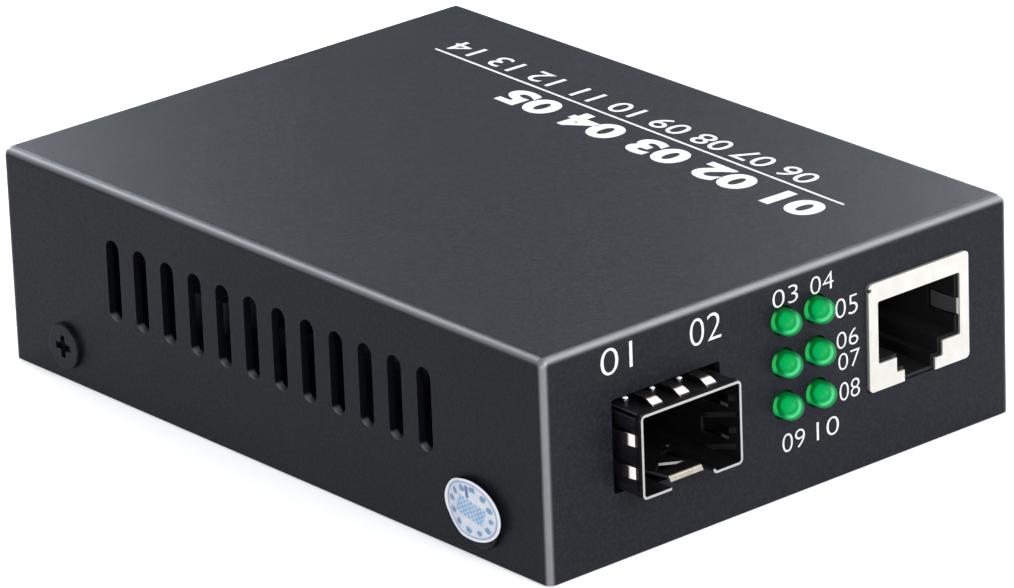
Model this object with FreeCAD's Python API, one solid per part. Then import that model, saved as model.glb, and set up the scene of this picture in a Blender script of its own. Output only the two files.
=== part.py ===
import FreeCAD, Part
import math
import os
from FreeCAD import Vector as V

# Fibre media converter, millimetres.
# Frame: origin at the centre of the case's bottom face. +Z up, -Y the front panel with the ports,
# +Y the rear with the power inlet, +X to the right as seen from the front.

# ---------------------------------------------------------------- driving dimensions
W, D, H = 70.0, 96.0, 26.5          # case, outside
T = 1.0                             # case sheet
R_OUT = 1.1                         # outside bend radius of the case
R_IN = 0.15                         # inside bend radius

SLOT_W, SLOT_H, SLOT_Z = 2.4, 10.0, 15.1
SLOT_PITCH, SLOT_N, SLOT_MID = 5.04, 12, -0.2

SCREW_Y, SCREW_Z = 37.4, 4.35       # case screws, on both sides, front and rear
SCREW_HEAD_D, SCREW_HEAD_H = 5.6, 0.65
SCREW_D, SCREW_L = 3.0, 4.0
CROSS_L, CROSS_W, CROSS_DEEP = 2.7, 0.8, 0.5

SEAL_Y, SEAL_Z = -36.0, 5.75        # oval seal over the front left screw
SEAL_A, SEAL_B, SEAL_TILT = 5.05, 3.52, 0.0
SEAL_T = 0.15

FLANGE_H = 8.0                      # upturned sides of the base tray
FLANGE_GAP = 0.1

PCB_T, PCB_TOP = 1.6, 8.2
PCB_X, PCB_Y0, PCB_Y1 = 32.0, -45.6, 46.0
PCB_NOTCH_Y = -37.6                 # the board stops here under the cage, so the latch can move
STANDOFFS = [(-28.0, -30.0), (28.4, -22.0), (-28.0, 41.0), (28.0, 41.0)]

# small-form-factor cage
CX, CW, CH = -17.4, 14.7, 9.9       # centre, outside width and height
CZ0 = 8.3                           # underside
CT = 0.3                            # cage sheet
CY0, CY1 = -52.1, -4.4              # front rim and rear wall
C_R = 0.6
C_CUT = (-25.35, -9.45, 8.0, 19.1)  # panel opening x0, x1, z0, z1
C_LIP_L, C_LIP_R = 4.2, 10.3        # bottom rim is open between these, from the left side
TX, TONGUE_W = -17.55, 4.8          # latch tongue, centred between the two lips
TONGUE_ROOT_Y = -38.6
TONGUE_RISE_Y = -43.5               # it rises from here to the tip
TONGUE_TIP = (-50.6, 9.27)          # middle of the sheet where the lip turns down
TONGUE_NOTCH = (6.0, 0.5)           # width and depth of the relief in the panel under the tongue

# network socket
JX = 20.47                          # centre
JW, JZ0, JZ1 = 15.5, 8.7, 21.7      # shield outside width, bottom and top
JY0, JY1 = -48.4, -27.4
JT = 0.3
J_CUT = (JX - 7.85, JX + 7.85, 8.6, 21.8)

# indicator lamps
LED_X = (0.0, 5.0)
LED_Z = (21.15, 16.15, 11.1)
LED_D, LED_OUT = 3.0, 2.55
LED_HOLE_D = 3.45

# power inlet
PX, PZ = -18.0, 14.7
PW, PH, PL = 9.0, 11.0, 14.0
P_BORE_D, P_BORE_L, P_PIN_D = 6.4, 9.6, 2.0


# ---------------------------------------------------------------- helpers
def box(x0, x1, y0, y1, z0, z1):
    return Part.makeBox(x1 - x0, y1 - y0, z1 - z0, V(x0, y0, z0))


def cyl(r, h, p, d):
    return Part.makeCylinder(r, h, V(*p), V(*d))


def fillet_if(shape, r, test):
    """Fillet the edges whose end points satisfy test."""
    es = [e for e in shape.Edges if len(e.Vertexes) == 2 and test(e)]
    return shape.makeFillet(r, es) if es else shape


def along(e, axis):
    a, b = e.Vertexes[0].Point, e.Vertexes[1].Point
    d = b.sub(a)
    o = [abs(d.x), abs(d.y), abs(d.z)]
    k = "xyz".index(axis)
    return o[k] > 1e-6 and all(o[i] < 1e-6 for i in range(3) if i != k)


def rbox(x0, x1, y0, y1, z0, z1, r, axis):
    """Box with its four edges along one axis rounded."""
    return fillet_if(box(x0, x1, y0, y1, z0, z1), r, lambda e: along(e, axis))


def poly_prism(pts, direction):
    """Closed polygon of 3D points, swept along a vector."""
    w = Part.makePolygon([V(*p) for p in pts] + [V(*pts[0])])
    return Part.Face(w).extrude(V(*direction))


def yz_prism(pts, x0, x1):
    return poly_prism([(x0, y, z) for y, z in pts], (x1 - x0, 0, 0))


def one(shape):
    """Refine and return the shape, which has to be a single solid."""
    s = shape.removeSplitter()
    assert len(s.Solids) == 1, len(s.Solids)
    return s.Solids[0]


def group(solids):
    return Part.makeCompound(solids)


def offset_path(pts, t):
    """A strip of thickness t on the left of an open path of (a, b) points, as a closed outline."""
    n = len(pts)
    out = []
    for i in range(n):
        if i == 0:
            d = (pts[1][0] - pts[0][0], pts[1][1] - pts[0][1])
            ds = [d]
        elif i == n - 1:
            d = (pts[-1][0] - pts[-2][0], pts[-1][1] - pts[-2][1])
            ds = [d]
        else:
            ds = [(pts[i][0] - pts[i - 1][0], pts[i][1] - pts[i - 1][1]),
                  (pts[i + 1][0] - pts[i][0], pts[i + 1][1] - pts[i][1])]
        ns = []
        for dx, dy in ds:
            L = math.hypot(dx, dy)
            ns.append((-dy / L, dx / L))
        nx, ny = sum(a for a, _ in ns), sum(b for _, b in ns)
        L = math.hypot(nx, ny)
        nx, ny = nx / L, ny / L
        k = t / max(0.3, nx * ns[0][0] + ny * ns[0][1])
        out.append((pts[i][0] + nx * k, pts[i][1] + ny * k))
    return list(pts) + out[::-1]


parts = {}

# ---------------------------------------------------------------- case: cover
# One sheet: top, front, rear and both sides, open below.
outer = box(-W / 2, W / 2, -D / 2, D / 2, 0, H)
outer = fillet_if(outer, R_OUT, lambda e: along(e, "z") or (e.Vertexes[0].Z > H - 0.01 and e.Vertexes[1].Z > H - 0.01))
inner = box(-W / 2 + T, W / 2 - T, -D / 2 + T, D / 2 - T, -5, H - T)
inner = fillet_if(inner, R_IN, lambda e: along(e, "z") or (e.Vertexes[0].Z > H - T - 0.01 and e.Vertexes[1].Z > H - T - 0.01))
cover = outer.cut(inner)

cuts = []
for s in (-1, 1):
    for i in range(SLOT_N):
        y = SLOT_MID + (i - (SLOT_N - 1) / 2) * SLOT_PITCH
        x0 = s * W / 2 - 2
        b = box(x0, x0 + 4, y - SLOT_W / 2, y + SLOT_W / 2, SLOT_Z - SLOT_H / 2, SLOT_Z + SLOT_H / 2)
        cuts.append(fillet_if(b, SLOT_W / 2 - 0.01, lambda e: along(e, "x")))
    for y in (-SCREW_Y, SCREW_Y):
        cuts.append(cyl(1.7, 4, (s * W / 2 - 2, y, SCREW_Z), (1, 0, 0)))
yf = -D / 2 - 1
x0, x1, z0, z1 = C_CUT
cuts.append(rbox(x0, x1, yf, yf + 3, z0, z1, 0.4, "y"))
nw, nd = TONGUE_NOTCH
cuts.append(rbox(TX - nw / 2, TX + nw / 2, yf, yf + 3, z0 - nd, z0 + 1.2, 0.4, "y"))
x0, x1, z0, z1 = J_CUT
cuts.append(rbox(x0, x1, yf, yf + 3, z0, z1, 0.5, "y"))
for lx in LED_X:
    for lz in LED_Z:
        cuts.append(cyl(LED_HOLE_D / 2, 3, (lx, yf, lz), (0, 1, 0)))
cuts.append(rbox(PX - PW / 2 - 0.2, PX + PW / 2 + 0.2, D / 2 - 2, D / 2 + 1, PCB_TOP - 0.1, PCB_TOP + PH + 0.2, 0.5, "y"))
for c in cuts:
    cover = cover.cut(c)
parts["top_cover"] = one(cover)

# ---------------------------------------------------------------- case: base tray
fx = W / 2 - T - FLANGE_GAP
ty = D / 2 - T - FLANGE_GAP
tray = box(-fx, fx, -ty, ty, 0, T)
for s in (-1, 1):
    xa, xb = (s * fx, s * (fx - T))
    fl = box(min(xa, xb), max(xa, xb), -ty + 2.0, ty - 2.0, 0, FLANGE_H)
    tray = tray.fuse(fl)
tray = tray.removeSplitter()
# the long outside bends
tray = fillet_if(tray, 0.8, lambda e: along(e, "y") and abs(abs(e.Vertexes[0].X) - fx) < 1e-6 and e.Vertexes[0].Z < 0.01 and e.Length > 80)
# rounded upper corners of the flanges
tray = fillet_if(tray, 2.0, lambda e: along(e, "x") and e.Vertexes[0].Z > FLANGE_H - 0.01)
for s in (-1, 1):
    for y in (-SCREW_Y, SCREW_Y):
        # tapped, drawn-in collar for each case screw
        col = cyl(2.1, 1.0, (s * (fx - T), y, SCREW_Z), (-s, 0, 0))
        tray = tray.fuse(col).cut(cyl(SCREW_D / 2, 6, (s * (fx + 1), y, SCREW_Z), (-s, 0, 0)))
parts["base_tray"] = one(tray)

# ---------------------------------------------------------------- case screws
screws = []
for s in (-1, 1):
    for y in (-SCREW_Y, SCREW_Y):
        head = cyl(SCREW_HEAD_D / 2, SCREW_HEAD_H, (s * W / 2, y, SCREW_Z), (s, 0, 0))
        head = head.makeFillet(0.22, [e for e in head.Edges if e.Closed and abs(e.CenterOfMass.x - s * (W / 2 + SCREW_HEAD_H)) < 1e-6])
        shank = cyl(SCREW_D / 2 - 0.02, SCREW_L, (s * W / 2, y, SCREW_Z), (-s, 0, 0))
        sc = head.fuse(shank)
        xo = s * (W / 2 + SCREW_HEAD_H)
        lo, hi = sorted((xo, xo - s * CROSS_DEEP))
        lo2, hi2 = (lo, hi + 1) if s > 0 else (lo - 1, hi)
        a = box(lo2, hi2, y - CROSS_L / 2, y + CROSS_L / 2, SCREW_Z - CROSS_W / 2, SCREW_Z + CROSS_W / 2)
        b = box(lo2, hi2, y - CROSS_W / 2, y + CROSS_W / 2, SCREW_Z - CROSS_L / 2, SCREW_Z + CROSS_L / 2)
        cone = Part.makeCone(0.75, 0.35, 0.9, V(xo, y, SCREW_Z), V(-s, 0, 0))
        sc = sc.cut(a.fuse(b)).cut(cone)
        screws.append(one(sc))
parts["case_screws"] = group(screws)

# ---------------------------------------------------------------- seal
# A paper seal: flat on the front left screw head, then sloping down to the case side behind it.
xt = -W / 2 - SCREW_HEAD_H
path = [(xt, SEAL_Y - 6.0), (xt, -34.4), (-W / 2 - 0.02, SEAL_Y + 4.4), (-W / 2 - 0.02, SEAL_Y + 7.0)]
prof = offset_path(path, SEAL_T)
strip = poly_prism([(x, y, SEAL_Z - 6) for x, y in prof], (0, 0, 12))
el = Part.Ellipse(V(0, 0, 0), SEAL_A, SEAL_B).toShape()
oval = Part.Face(Part.Wire([el])).extrude(V(0, 0, 4))
oval.rotate(V(0, 0, 0), V(0, 0, 1), SEAL_TILT)
# long axis along Y, short axis along Z, swept along X
oval.rotate(V(0, 0, 0), V(1, 0, 0), 90)
oval.rotate(V(0, 0, 0), V(0, 0, 1), 90)
oval.translate(V(-W / 2 - 3, SEAL_Y, SEAL_Z))
parts["seal_sticker"] = one(strip.common(oval))

# ---------------------------------------------------------------- circuit board
pcb = box(-PCB_X, PCB_X, PCB_Y0, PCB_Y1, PCB_TOP - PCB_T, PCB_TOP)
pcb = fillet_if(pcb, 1.5, lambda e: along(e, "z"))
pcb = pcb.cut(box(-PCB_X - 1, CX + CW / 2 + 1.6, PCB_Y0 - 1, PCB_NOTCH_Y, 0, 20))
pcb_holes = []
for x, y in STANDOFFS:
    pcb_holes.append((x, y, 1.6))

# standoffs: hexagonal posts clinched in the tray floor
posts = []
for x, y in STANDOFFS:
    pts = [(x + 2.9 * math.cos(math.radians(60 * k + 30)), y + 2.9 * math.sin(math.radians(60 * k + 30)), T) for k in range(6)]
    p = poly_prism(pts, (0, 0, PCB_TOP - PCB_T - T))
    posts.append(one(p.cut(cyl(1.5, 10, (x, y, T + 0.6), (0, 0, 1)))))
parts["board_standoffs"] = group(posts)

bs = []
for x, y in STANDOFFS:
    head = cyl(2.6, 1.7, (x, y, PCB_TOP), (0, 0, 1))
    head = head.makeFillet(0.7, [e for e in head.Edges if e.Closed and abs(e.CenterOfMass.z - PCB_TOP - 1.7) < 1e-6])
    sc = head.fuse(cyl(1.48, 5.0, (x, y, PCB_TOP - 5.0), (0, 0, 1)))
    a = box(x - 1.4, x + 1.4, y - 0.35, y + 0.35, PCB_TOP + 0.8, PCB_TOP + 3)
    b = box(x - 0.35, x + 0.35, y - 1.4, y + 1.4, PCB_TOP + 0.8, PCB_TOP + 3)
    bs.append(one(sc.cut(a.fuse(b))))
parts["board_screws"] = group(bs)

# ---------------------------------------------------------------- small-form-factor cage
cx0, cx1 = CX - CW / 2, CX + CW / 2
cz1 = CZ0 + CH
tube = rbox(cx0, cx1, CY0, CY1, CZ0, cz1, C_R, "y").cut(rbox(cx0 + CT, cx1 - CT, CY0 - 1, CY1 - CT, CZ0 + CT, cz1 - CT, C_R - CT, "y"))
BASE_Y0 = -44.0                                   # the base sheet starts here, behind the bottom rim
FL_W = 1.7                                        # inward flanges that carry the base sheet
# bottom: open between the rim's two lips, then open between the flanges
tube = tube.cut(box(cx0 + C_LIP_L, cx0 + C_LIP_R, CY0 - 1, BASE_Y0, CZ0 - 1, CZ0 + CT + 0.01))
tube = tube.cut(box(cx0 + FL_W, cx1 - FL_W, BASE_Y0 - 0.01, CY1 - CT - 0.01, CZ0 - 1, CZ0 + CT + 0.01))
# fully open below the board connector
tube = tube.cut(box(cx0 + CT, cx1 - CT, -14.8, CY1 - CT - 0.01, CZ0 - 1, CZ0 + CT + 0.3))
# the right lip's inner end is rolled up
CURL_R = 0.6
ux, uz = cx0 + C_LIP_R + CURL_R, CZ0 + CURL_R      # centre of the roll
tube = tube.cut(box(cx0 + C_LIP_R - 0.5, ux, CY0 - 1, BASE_Y0, CZ0 - 1, CZ0 + CT + 0.01))
curl = Part.makeCylinder(CURL_R, BASE_Y0 - CY0 - 3.0, V(ux, CY0, uz), V(0, 1, 0))
curl = curl.cut(Part.makeCylinder(CURL_R - CT, 12.0, V(ux, CY0 - 0.5, uz), V(0, 1, 0)))
curl = curl.cut(box(ux, ux + 3, CY0 - 1, CY0 + 12, 0, 30)).cut(box(ux - 3, ux + 3, CY0 - 1, CY0 + 12, uz, 30))
tube = tube.fuse(curl)
# windows behind the spring fingers
FT_X = [CX - 3.95, CX, CX + 3.95]                                   # top fingers
FS_Z = [CZ0 + CH / 2 + 1.9, CZ0 + CH / 2 - 1.95]                    # side fingers
FW = 1.4
for x in FT_X:
    tube = tube.cut(box(x - FW / 2 - 0.15, x + FW / 2 + 0.15, CY0 + 2.6, CY0 + 6.4, cz1 - CT - 0.5, cz1 + 1))
for z in FS_Z:
    for s in (-1, 1):
        xc = CX + s * CW / 2
        tube = tube.cut(box(xc - 0.9, xc + 0.9, CY0 + 1.9, CY0 + 6.4, z - FW / 2 - 0.15, z + FW / 2 + 0.15))
# vent holes in the top and sides
for i in range(6):
    y = -40 + i * 5.2
    for x in (CX - 4.2, CX, CX + 4.2):
        tube = tube.cut(cyl(1.0, 3, (x, y, cz1 - 1.5), (0, 0, 1)))
    for z in (CZ0 + 3.2, CZ0 + 6.8):
        tube = tube.cut(cyl(0.9, 30, (CX - 15, y, z), (1, 0, 0)))
# a slit along the upper left bend, behind the rim
tube = tube.cut(box(cx0 - 0.3, cx0 + 0.5, CY0 + 1.0, CY0 + 6.0, cz1 - 0.52, cz1 - 0.18))
# three dimples raised from the top, just in front of the panel
for x in FT_X:
    dim = Part.makeSphere(0.42, V(x - 1.55, CY0 + 4.6, cz1 + 0.1)).common(box(x - 3, x, CY0 + 4, CY0 + 6, cz1 - 0.1, cz1 + 2))
    tube = tube.fuse(dim)
# press-fit pins, into the board
pin_xy = []
for y in (-35.0, -21.0, -7.0):
    for s in (-1, 1):
        x = CX + s * (CW / 2 - CT / 2)
        pin_xy.append((x, y))
        tube = tube.fuse(box(x - CT / 2, x + CT / 2, y - 0.45, y + 0.45, PCB_TOP - PCB_T - 0.8, CZ0 + 1.0))
        pcb_holes.append((x, y, 0.62))
parts["sfp_cage_shell"] = one(tube)

base = box(cx0 + FL_W + 0.1, cx1 - FL_W - 0.1, BASE_Y0 + 0.1, -15.5, CZ0, CZ0 + CT)
base = base.cut(box(TX - TONGUE_W / 2 - 0.3, TX + TONGUE_W / 2 + 0.3, BASE_Y0 - 1, TONGUE_ROOT_Y + 0.25, 0, 20))
# raised ribs that the module slides on
for s in (-1, 1):
    base = base.fuse(rbox(CX + s * 4.6 - 0.35, CX + s * 4.6 + 0.35, -43.0, -17.0, CZ0 + CT - 0.01, CZ0 + CT + 0.12, 0.3, "z"))
parts["sfp_cage_base"] = one(base)

# latch tongue: a leaf that leaves the floor and rises a little, with a triangular hole for the module's latch
# and a lip turned down in front
tz = CZ0 + CT / 2
ty1, tz1 = TONGUE_TIP
c = [(TONGUE_ROOT_Y, tz), (TONGUE_RISE_Y, tz), (TONGUE_RISE_Y - 0.5, tz + 0.03), (ty1, tz1)]
slope = math.atan2(tz1 - tz - 0.03, ty1 - TONGUE_RISE_Y + 0.5)          # direction of the rising part
lip_r = 0.32
oy, oz = ty1 + lip_r * math.sin(slope), tz1 - lip_r * math.cos(slope)    # centre of the bend, below the leaf
if oz > tz1:
    oy, oz = ty1 - lip_r * math.sin(slope), tz1 + lip_r * math.cos(slope)
a0 = math.atan2(tz1 - oz, ty1 - oy)
for k in range(1, 7):
    a = a0 + math.radians(11.5 * k)
    c.append((oy + lip_r * math.cos(a), oz + lip_r * math.sin(a)))
dy, dz = c[-1][0] - c[-2][0], c[-1][1] - c[-2][1]
L = math.hypot(dy, dz)
c.append((c[-1][0] + dy / L * 0.42, c[-1][1] + dz / L * 0.42))
# thick outline: offset the middle line both ways
half = offset_path(c, CT / 2)
upper = offset_path(c, -CT / 2)
outline = half[len(c):][::-1] + upper[len(c):]
tongue = yz_prism(outline, TX - TONGUE_W / 2, TX + TONGUE_W / 2)
tri = poly_prism([(TX, -46.6, 5), (TX - 2.2, -48.5, 5), (TX + 2.2, -48.5, 5)], (0, 0, 8))
tongue = tongue.cut(tri)
parts["sfp_latch_tongue"] = one(tongue)

# spring collar: a thin band round the cage with fingers that touch the panel opening
ET = 0.12


def ease(t):
    """0 to 1, level at both ends."""
    t = min(1.0, max(0.0, t))
    return t * t * (3 - 2 * t)


def finger_profile(foot, panel_h):
    """Height above the cage skin along the distance behind the rim: up from the ring, a crown at the panel, down."""
    crown = panel_h - 0.2
    pts = [(0.25, 0.0)]
    n = 12
    for k in range(n + 1):
        t = k / n
        d = foot + t * (3.9 - foot)
        pts.append((d, crown * (1 - (1 - t) ** 2.4)))
    for k in range(1, n + 1):
        t = k / n
        pts.append((3.9 + t * 2.6, crown * (1 - ease(t))))
    pts.append((6.9, 0.0))
    return pts


def strip_outline(prof, t):
    return offset_path(prof, t)


g = 0.02                                           # the band lies this far off the cage skin
cy = lambda d: CY0 + d
# two narrow rings carry the fingers: one behind the rim, one inside the panel
rings = []
for d0, d1 in ((0.25, 0.75), (6.5, 7.6)):
    o = rbox(cx0 - g - ET, cx1 + g + ET, cy(d0), cy(d1), CZ0 - 0.02, cz1 + g + ET, C_R + g + ET, "y")
    i = rbox(cx0 - g, cx1 + g, cy(d0) - 1, cy(d1) + 1, CZ0 - 0.5, cz1 + g, C_R + g, "y")
    r = o.cut(i).cut(box(cx0 - 2, cx1 + 2, CY0 - 1, CY0 + 9, CZ0 - 2, CZ0 + 0.9))
    rings.append(r)
spring = rings[0].fuse(rings[1])
top_gap = C_CUT[3] - cz1
side_gap = cx0 - C_CUT[0]
for x in FT_X:
    ol = strip_outline(finger_profile(0.85, top_gap), ET)
    f = yz_prism([(cy(d), cz1 + g + h) for d, h in ol], x - FW / 2, x + FW / 2)
    spring = spring.fuse(f)
for z in FS_Z:
    for s in (-1, 1):
        ol = strip_outline(finger_profile(0.5, side_gap), ET)
        xs = CX + s * (CW / 2 + g)
        f = poly_prism([(xs + s * h, cy(d), z - FW / 2) for d, h in ol], (0, 0, FW))
        spring = spring.fuse(f)
parts["sfp_emi_spring"] = one(spring)

# board connector inside the cage, with its card slot facing forward
KX, KY0, KY1, KZ1 = 6.3, -13.4, -5.6, 14.4
conn = box(CX - KX, CX + KX, KY0, KY1, PCB_TOP, KZ1)
conn = fillet_if(conn, 0.5, lambda e: along(e, "y") and e.Vertexes[0].Z > KZ1 - 0.01)
conn = conn.cut(box(CX - 5.3, CX + 5.3, KY0 - 1, KY0 + 5.4, 10.8, 12.6))
conn = conn.cut(box(CX - 4.2, CX + 4.2, KY0 - 1, KY0 + 5.4, 10.3, 13.1))
conn = conn.cut(box(CX - 4.2, CX + 4.2, KY1 - 1.2, KY1 + 1, PCB_TOP - 1, 13.3))
parts["sfp_connector_body"] = one(conn)
pins = []
for k in range(10):
    x = CX + (k - 4.5) * 0.8
    pins.append(box(x - 0.16, x + 0.16, KY0 + 0.5, KY0 + 5.3, 12.75, 12.95))
    pins.append(box(x - 0.16, x + 0.16, KY0 + 0.5, KY0 + 5.3, 10.45, 10.65))
parts["sfp_connector_contacts"] = group(pins)

# ---------------------------------------------------------------- network socket
jx0, jx1 = JX - JW / 2, JX + JW / 2
shield = rbox(jx0, jx1, JY0, JY1, JZ0, JZ1, 0.6, "y")
shield = shield.cut(box(jx0 + JT, jx1 - JT, JY0 + JT, JY1 - JT, JZ0 - 1, JZ1 - JT))
OP = [(6.35, 11.89, 19.39), (3.56, 10.09, 12.2), (2.38, 8.2, 10.4)]       # half width, bottom, top; the last is open below
for hw, a, b in OP:
    shield = shield.cut(rbox(JX - hw, JX + hw, JY0 - 1, JY0 + 1, a, b, 0.25, "y"))
# spring tabs, cut from the face and folded back into the mouth
for s in (-1, 1):
    xw = JX + s * 6.35
    pts = [(xw, JY0), (xw - s * 0.06, JY0 + 0.2), (xw - s * 0.17, JY0 + 0.45), (xw - s * 0.52, JY0 + 3.0), (xw - s * 0.3, JY0 + 4.4)]
    ol = offset_path(pts, s * 0.0 + (-0.2 if s > 0 else 0.2))
    tab = poly_prism([(x, y, 14.3) for x, y in ol], (0, 0, 1.9))
    bridge = box(min(xw, xw + s * 0.25), max(xw, xw + s * 0.25), JY0, JY0 + JT, 14.3, 16.2)
    shield = shield.fuse(tab).fuse(bridge)
# a small relief where the face meets the upper left bend
shield = shield.cut(box(jx0 - 0.5, jx0 + 0.42, JY0 - 1, JY0 + JT + 0.25, JZ1 - 0.95, JZ1 - 0.5))
# board pins of the shield
for y in (-42.0, -33.0):
    for s in (-1, 1):
        x = JX + s * (JW / 2 - JT / 2)
        shield = shield.fuse(box(x - JT / 2, x + JT / 2, y - 0.6, y + 0.6, PCB_TOP - PCB_T - 1.0, JZ0 + 1.0))
        pcb_holes.append((x, y, 0.85))
parts["rj45_shield"] = one(shield)

HY0, HY1 = JY0 + 0.5, JY1 - JT - 0.1
hx0, hx1 = jx0 + JT + 0.05, jx1 - JT - 0.05
HZ0, HZ1 = PCB_TOP + 0.02, JZ1 - JT - 0.05
BACK_Y = -35.2
hous = box(hx0, hx1, HY0, HY1, HZ0, HZ1)
for hw, a, b in ((5.95, 12.15, 19.2), (3.2, 10.4, 12.3), (2.15, 9.12, 10.6)):
    hous = hous.cut(box(JX - hw, JX + hw, HY0 - 1, BACK_Y, a, b))
# the side walls are relieved at the mouth for the shield's spring tabs
hous = hous.cut(box(JX - 6.9, JX + 6.9, HY0 - 1, JY0 + 4.9, 14.1, 16.4))
# the front edge clears the panel below the socket's opening
hous = hous.cut(box(hx0 - 1, hx1 + 1, HY0 - 1, -D / 2 + T + 0.1, HZ0 - 1, JZ0 + 0.05))
# pocket for the contact insert, above and behind the mouth
INS_HW, INS_Z0 = 5.85, 19.35
hous = hous.cut(box(JX - INS_HW - 0.05, JX + INS_HW + 0.05, HY0 + 1.2, HY1 + 1, INS_Z0 - 0.3, HZ1 + 1))
hous = hous.cut(box(JX - INS_HW - 0.05, JX + INS_HW + 0.05, BACK_Y + 1.2, HY1 + 1, PCB_TOP - 1, HZ1 + 1))
# two locating pegs
for s in (-1, 1):
    hous = hous.fuse(cyl(1.1, 2.2, (JX + s * 5.6, -38.6, HZ0 - 2.2), (0, 0, 1)))
    pcb_holes.append((JX + s * 5.6, -38.6, 1.2))
parts["rj45_housing"] = one(hous)

ins = box(JX - INS_HW, JX + INS_HW, HY0 + 1.25, HY1 - 0.3, INS_Z0, HZ1 - 0.05)
ins = ins.fuse(box(JX - INS_HW, JX + INS_HW, BACK_Y + 1.25, HY1 - 0.3, PCB_TOP + 0.05, HZ1 - 0.05))
tails = []
for k in range(8):
    x = JX + (k - 3.5) * 1.02
    y = -31.2 if k % 2 else -29.2
    ins = ins.cut(box(x - 0.27, x + 0.27, y - 0.27, y + 0.27, PCB_TOP - 1, 12.0))
    tails.append(box(x - 0.24, x + 0.24, y - 0.24, y + 0.24, PCB_TOP - PCB_T - 1.0, 12.0))
    pcb_holes.append((x, y, 0.42))
parts["rj45_contact_insert"] = one(ins)
parts["rj45_solder_pins"] = group(tails)

# eight sprung wires, sloping down from the front of the insert towards the back of the mouth
FLEX_Y, FLEX_Z = -45.6, 18.95
WT = 0.34
wires = []
path = [(FLEX_Y, FLEX_Z), (FLEX_Y + 0.5, FLEX_Z - 0.08), (FLEX_Y + 6.6, FLEX_Z - 2.0), (FLEX_Y + 7.4, FLEX_Z - 2.15)]
for k in range(8):
    x = JX + (k - 3.5) * 1.02
    a = offset_path(path, WT / 2)[len(path):][::-1]
    b = offset_path(path, -WT / 2)[len(path):]
    w = yz_prism(a + b, x - WT / 2, x + WT / 2)
    w = w.fuse(cyl(WT / 2 + 0.03, WT, (x - WT / 2, FLEX_Y, FLEX_Z), (1, 0, 0)))
    wires.append(one(w))
parts["rj45_contacts"] = group(wires)

# ---------------------------------------------------------------- indicator lamps
lamps, leads, hold = [], [], None
HBY0, HBY1 = -46.6, -38.6
hold = box(-2.6, 7.6, HBY0, HBY1, PCB_TOP, 23.6)
for ix, lx in enumerate(LED_X):
    for iz, lz in enumerate(LED_Z):
        r = LED_D / 2
        tip = -D / 2 - LED_OUT
        b = cyl(r, 5.3, (lx, tip, lz), (0, 1, 0))
        b = b.makeFillet(1.42, [e for e in b.Edges if e.Closed and abs(e.CenterOfMass.y - tip) < 1e-6])
        b = b.fuse(cyl(1.9, 1.0, (lx, tip + 5.3, lz), (0, 1, 0)))
        lamps.append(one(b))
        hold = hold.cut(cyl(1.95, 20, (lx, -50, lz), (0, 1, 0)).common(box(-50, 50, -50, tip + 6.32, 0, 50)))
        # two leads: back through the holder, then down to the board
        for dx in (-1.27, 1.27):
            y_end = HBY1 + 1.2 + (2 - iz) * 1.6      # the highest lamp's leads drop furthest back
            xx = lx + dx
            hold = hold.cut(box(xx - 0.3, xx + 0.3, tip + 6.0, HBY1 + 1, lz - 0.3, lz + 0.3))
            ld = box(xx - 0.25, xx + 0.25, tip + 6.3, y_end + 0.25, lz - 0.25, lz + 0.25)
            ld = ld.fuse(box(xx - 0.25, xx + 0.25, y_end - 0.25, y_end + 0.25, PCB_TOP - PCB_T - 1.0, lz + 0.25))
            leads.append(one(ld))
            pcb_holes.append((xx, y_end, 0.42))
parts["led_lamps"] = group(lamps)
parts["led_leads"] = group(leads)
parts["led_holder"] = one(hold)

# ---------------------------------------------------------------- power inlet
py0, py1 = D / 2 - PL, D / 2
jack = box(PX - PW / 2, PX + PW / 2, py0, py1, PCB_TOP, PCB_TOP + PH)
jack = jack.makeFillet(0.3, [e for e in jack.Edges if abs(e.CenterOfMass.y - py1) < 1e-6 or (along(e, "y") and e.Vertexes[0].Z > PCB_TOP + PH - 0.01)])
jack = jack.cut(cyl(P_BORE_D / 2, P_BORE_L, (PX, py1 - P_BORE_L, PZ), (0, 1, 0)))
jack = jack.cut(Part.makeCone(P_BORE_D / 2, P_BORE_D / 2 + 0.5, 0.5, V(PX, py1 - 0.5, PZ), V(0, 1, 0)))
jack = jack.cut(cyl(1.05, 20, (PX, py0 - 1, PZ), (0, 1, 0)))
jack = jack.cut(box(PX - 1.6, PX + 1.6, py0 + 3.0, py1 - 1.4, PCB_TOP - 1, PZ - 1.5).cut(box(-99, 99, py1 - P_BORE_L - 3.2, py1 - P_BORE_L, 0, 99)))
parts["dc_jack_housing"] = one(jack)

pin = cyl(P_PIN_D / 2, PL + 0.3 - 1.2, (PX, py0 - 0.3, PZ), (0, 1, 0))
pin = pin.makeFillet(0.5, [e for e in pin.Edges if e.Closed and e.CenterOfMass.y > py1 - 2])
pin = pin.fuse(box(PX - 1.2, PX + 1.2, py0 - 0.6, py0 - 0.25, PCB_TOP - PCB_T - 1.0, PZ + 1.2))
pcb_holes.append((PX, py0 - 0.42, 1.35))
parts["dc_jack_pin"] = one(pin)
sp_path = [(py1 - 2.0, PZ - 3.35), (py1 - 3.2, PZ - 2.95), (py1 - 4.6, PZ - 2.75), (py1 - 6.2, PZ - 3.1), (py1 - 7.6, PZ - 3.6), (py1 - 7.9, PCB_TOP - PCB_T - 1.0)]
spo = offset_path(sp_path, 0.25)
spring_leaf = yz_prism(spo, PX - 1.2, PX + 1.2)
pcb_holes.append((PX, py1 - 7.95, 1.4))
parts["dc_jack_spring"] = one(spring_leaf)

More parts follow.
